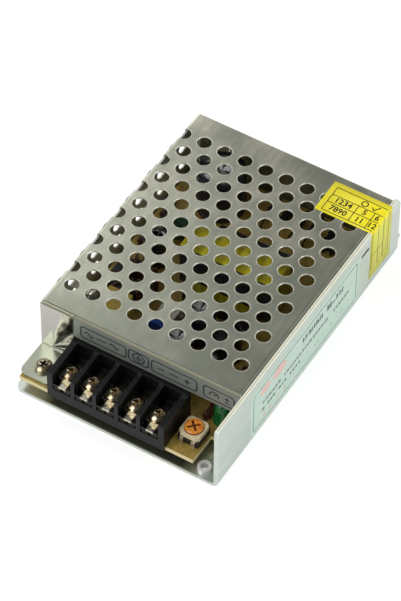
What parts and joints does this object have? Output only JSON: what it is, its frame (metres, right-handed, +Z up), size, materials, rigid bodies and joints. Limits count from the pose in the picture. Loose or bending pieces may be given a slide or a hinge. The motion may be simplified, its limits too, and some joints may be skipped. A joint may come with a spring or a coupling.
{
  "type": "enclosed switching power supply",
  "caption": "Open-front mains power supply in an L-shaped chassis under a folded perforated cover, with a screw terminal block and a trimmer on the front ledge.",
  "frame": {"origin": "bottom centre of the case", "axes": "+Z up, +Y from the terminals to the rear, +X towards the chassis side wall"},
  "size_m": [0.071, 0.114, 0.026],
  "materials": {
    "chassis_aluminium": "mill-finish sheet",
    "cover_steel": "bright tinned sheet, satin",
    "insulating_film": "milky polyester film",
    "board_laminate": "phenolic paper laminate",
    "standoff_steel": "zinc plated",
    "screw_steel": "nickel plated",
    "terminal_plastic": "moulded, satin",
    "terminal_metal": "tin-plated brass",
    "trimmer_dark": "moulded",
    "trimmer_pale": "unglazed, ivory",
    "trimmer_orange": "moulded",
    "tinned_lead": "tinned",
    "lamp_green": "translucent resin",
    "ferrite": "sintered ferrite, matt",
    "bobbin_plastic": "moulded",
    "winding_tape": "polyester tape",
    "capacitor_sleeve": "shrunk sleeve",
    "ring_coating": "epoxy coating",
    "enamelled_wire": "enamelled copper wire",
    "fuse_glass": "clear tube",
    "nickel_caps": "nickel plated",
    "thermistor_coating": "dipped coating",
    "film_capacitor_case": "moulded case",
    "blue_coating": "dipped coating",
    "choke_sleeve": "shrunk sleeve",
    "black_epoxy": "moulded epoxy",
    "resistor_coating": "lacquer",
    "power_resistor_coating": "lacquer",
    "pale_epoxy": "moulded epoxy",
    "pad_silicone": "filled silicone",
    "nickel_steel": "nickel plated",
    "label_film": "silver-green film",
    "sticker_paper": "yellow, self adhesive"
  },
  "bodies": {
    "supply": {"chassis": "chassis_aluminium", "cover": "cover_steel", "insulating_sheet": "insulating_film", "circuit_board": "board_laminate", "board_standoffs": "standoff_steel", "board_screws": "screw_steel", "cover_screws": "screw_steel", "terminal_block": "terminal_plastic", "terminal_plates": "terminal_metal", "trimmer_base": "trimmer_dark", "trimmer_cap": "trimmer_pale", "trimmer_legs": "tinned_lead", "indicator_lamp": "lamp_green", "transformer_core": "ferrite", "transformer_bobbin": "bobbin_plastic", "transformer_winding": "winding_tape", "transformer_belt": "winding_tape", "bulk_capacitor": "capacitor_sleeve", "output_capacitors": "capacitor_sleeve", "small_capacitors": "capacitor_sleeve", "filter_ring": "ring_coating", "filter_windings": "enamelled_wire", "fuse_tube": "fuse_glass", "fuse_caps": "nickel_caps", "thermistor": "thermistor_coating", "mains_film_capacitor": "film_capacitor_case", "safety_capacitor": "blue_coating", "output_choke": "choke_sleeve", "rectifier_diodes": "black_epoxy", "resistors": "resistor_coating", "power_resistor": "power_resistor_coating", "controller_chip": "black_epoxy", "optocoupler": "pale_epoxy", "shunt_regulator": "black_epoxy", "power_transistor": "black_epoxy", "output_rectifier": "black_epoxy", "heat_pads": "pad_silicone", "power_screws": "screw_steel", "rating_label": "label_film", "inspection_sticker": "sticker_paper"},
    "washer_1": {"clamp_washer_1": "nickel_steel"},
    "screw_1": {"terminal_screw_1": "nickel_steel"},
    "washer_2": {"clamp_washer_2": "nickel_steel"},
    "screw_2": {"terminal_screw_2": "nickel_steel"},
    "washer_3": {"clamp_washer_3": "nickel_steel"},
    "screw_3": {"terminal_screw_3": "nickel_steel"},
    "washer_4": {"clamp_washer_4": "nickel_steel"},
    "screw_4": {"terminal_screw_4": "nickel_steel"},
    "washer_5": {"clamp_washer_5": "nickel_steel"},
    "screw_5": {"terminal_screw_5": "nickel_steel"},
    "trimmer_rotor": {"trimmer_rotor": "trimmer_orange"}
  },
  "joints": [
    {"name": "washer_1_lift", "type": "slide", "parent": "supply", "child": "washer_1", "axis": [0, 0, 1], "range_m": [0, 0.0025]},
    {"name": "screw_1_turn", "type": "hinge", "parent": "washer_1", "child": "screw_1", "pos_m": [-0.01869, -0.0513, 0.0111], "axis": [0, 0, 1], "range_deg": [0, 1800]},
    {"name": "washer_2_lift", "type": "slide", "parent": "supply", "child": "washer_2", "axis": [0, 0, 1], "range_m": [0, 0.0025]},
    {"name": "screw_2_turn", "type": "hinge", "parent": "washer_2", "child": "screw_2", "pos_m": [-0.01107, -0.0513, 0.0111], "axis": [0, 0, 1], "range_deg": [0, 1800]},
    {"name": "washer_3_lift", "type": "slide", "parent": "supply", "child": "washer_3", "axis": [0, 0, 1], "range_m": [0, 0.0025]},
    {"name": "screw_3_turn", "type": "hinge", "parent": "washer_3", "child": "screw_3", "pos_m": [-0.00345, -0.0513, 0.0111], "axis": [0, 0, 1], "range_deg": [0, 1800]},
    {"name": "washer_4_lift", "type": "slide", "parent": "supply", "child": "washer_4", "axis": [0, 0, 1], "range_m": [0, 0.0025]},
    {"name": "screw_4_turn", "type": "hinge", "parent": "washer_4", "child": "screw_4", "pos_m": [0.00417, -0.0513, 0.0111], "axis": [0, 0, 1], "range_deg": [0, 1800]},
    {"name": "washer_5_lift", "type": "slide", "parent": "supply", "child": "washer_5", "axis": [0, 0, 1], "range_m": [0, 0.0025]},
    {"name": "screw_5_turn", "type": "hinge", "parent": "washer_5", "child": "screw_5", "pos_m": [0.01179, -0.0513, 0.0111], "axis": [0, 0, 1], "range_deg": [0, 1800]},
    {"name": "trimmer_turn", "type": "hinge", "parent": "supply", "child": "trimmer_rotor", "pos_m": [0.02195, -0.0479, 0.0084], "axis": [0, 0, 1], "range_deg": [-105, 105]}
  ],
  "couplings": [
    {"joint": "screw_1_turn", "follows": "washer_1_lift", "rad_per_m": 12566},
    {"joint": "screw_2_turn", "follows": "washer_2_lift", "rad_per_m": 12566},
    {"joint": "screw_3_turn", "follows": "washer_3_lift", "rad_per_m": 12566},
    {"joint": "screw_4_turn", "follows": "washer_4_lift", "rad_per_m": 12566},
    {"joint": "screw_5_turn", "follows": "washer_5_lift", "rad_per_m": 12566}
  ]
}
